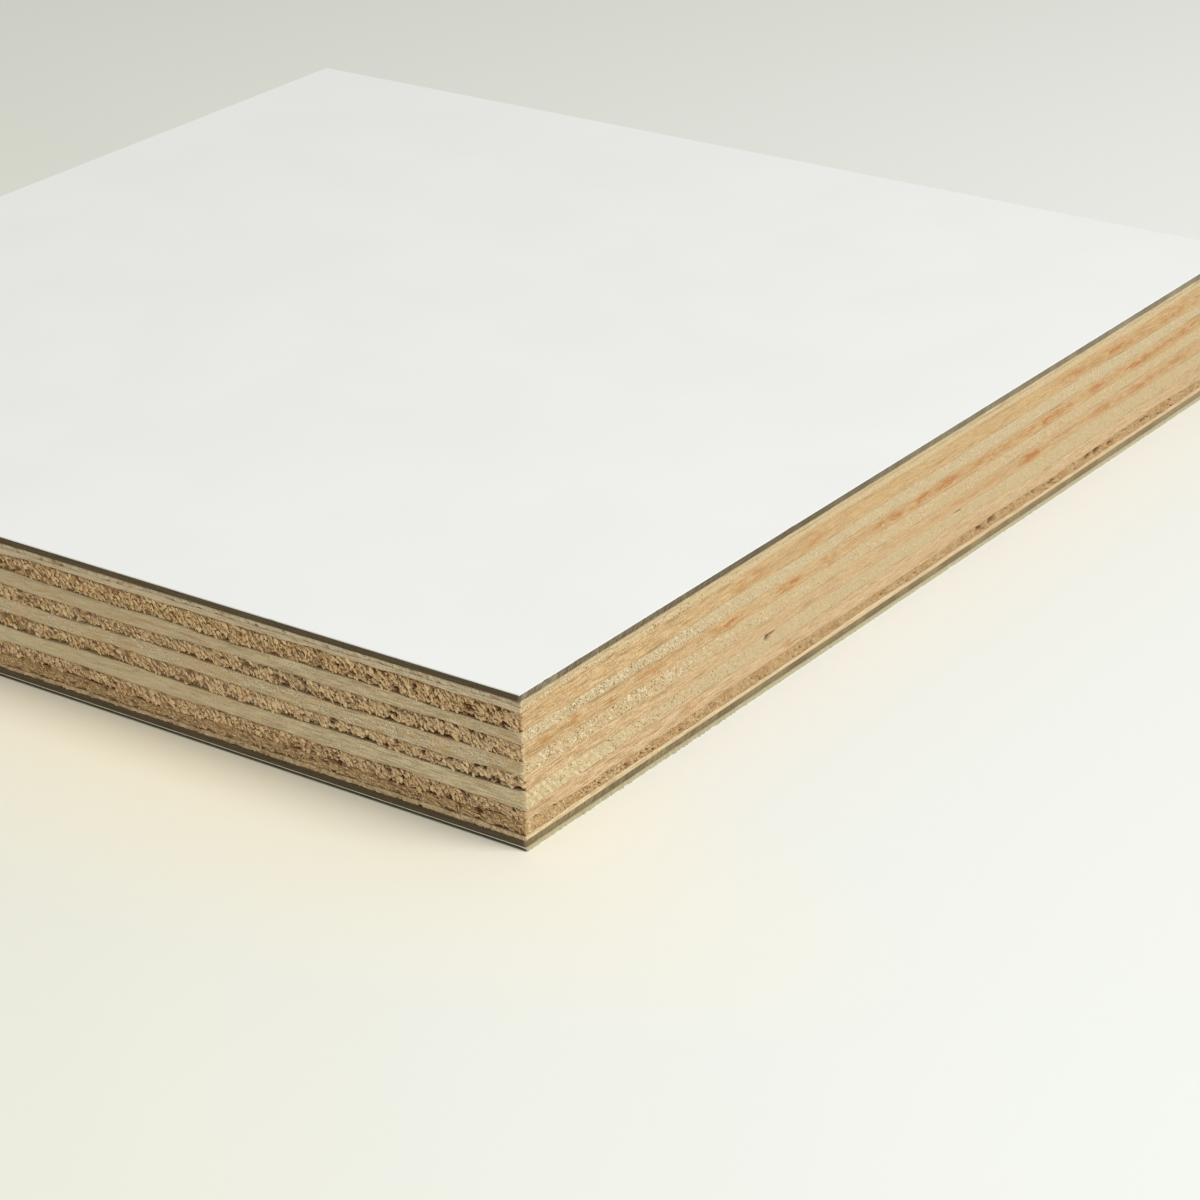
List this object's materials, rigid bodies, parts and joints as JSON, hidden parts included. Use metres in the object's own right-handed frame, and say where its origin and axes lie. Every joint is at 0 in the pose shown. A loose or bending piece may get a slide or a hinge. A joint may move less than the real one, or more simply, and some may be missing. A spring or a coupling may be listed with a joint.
{
  "type": "laminate-faced plywood sheet",
  "caption": "Square-cut piece of plywood sheet: cross-laid wood veneers glued between white decor laminates with a dark core, a flat panel for fitting out and joinery.",
  "frame": {"origin": "centre of the sheet's underside, on the surface that it lies on", "axes": "+Z out of the white top face, +X along the grain of the two face veneers, +Y across it"},
  "size_m": [0.176, 0.176, 0.02],
  "materials": {
    "decor": "satin",
    "kraft": "matte",
    "face_veneer": "matte",
    "long_veneer": "matte",
    "cross_veneer": "matte",
    "heartwood_veneer": "matte"
  },
  "bodies": {
    "root": {"top_decor": "decor", "top_kraft_core": "kraft", "veneer_01": "face_veneer", "veneer_02": "cross_veneer", "veneer_03": "long_veneer", "veneer_04": "cross_veneer", "veneer_05": "long_veneer", "veneer_06": "cross_veneer", "veneer_07": "long_veneer", "veneer_08": "cross_veneer", "veneer_09": "long_veneer", "veneer_10": "heartwood_veneer", "veneer_11": "face_veneer", "bottom_kraft_core": "kraft", "bottom_decor": "decor"}
  },
  "joints": []
}
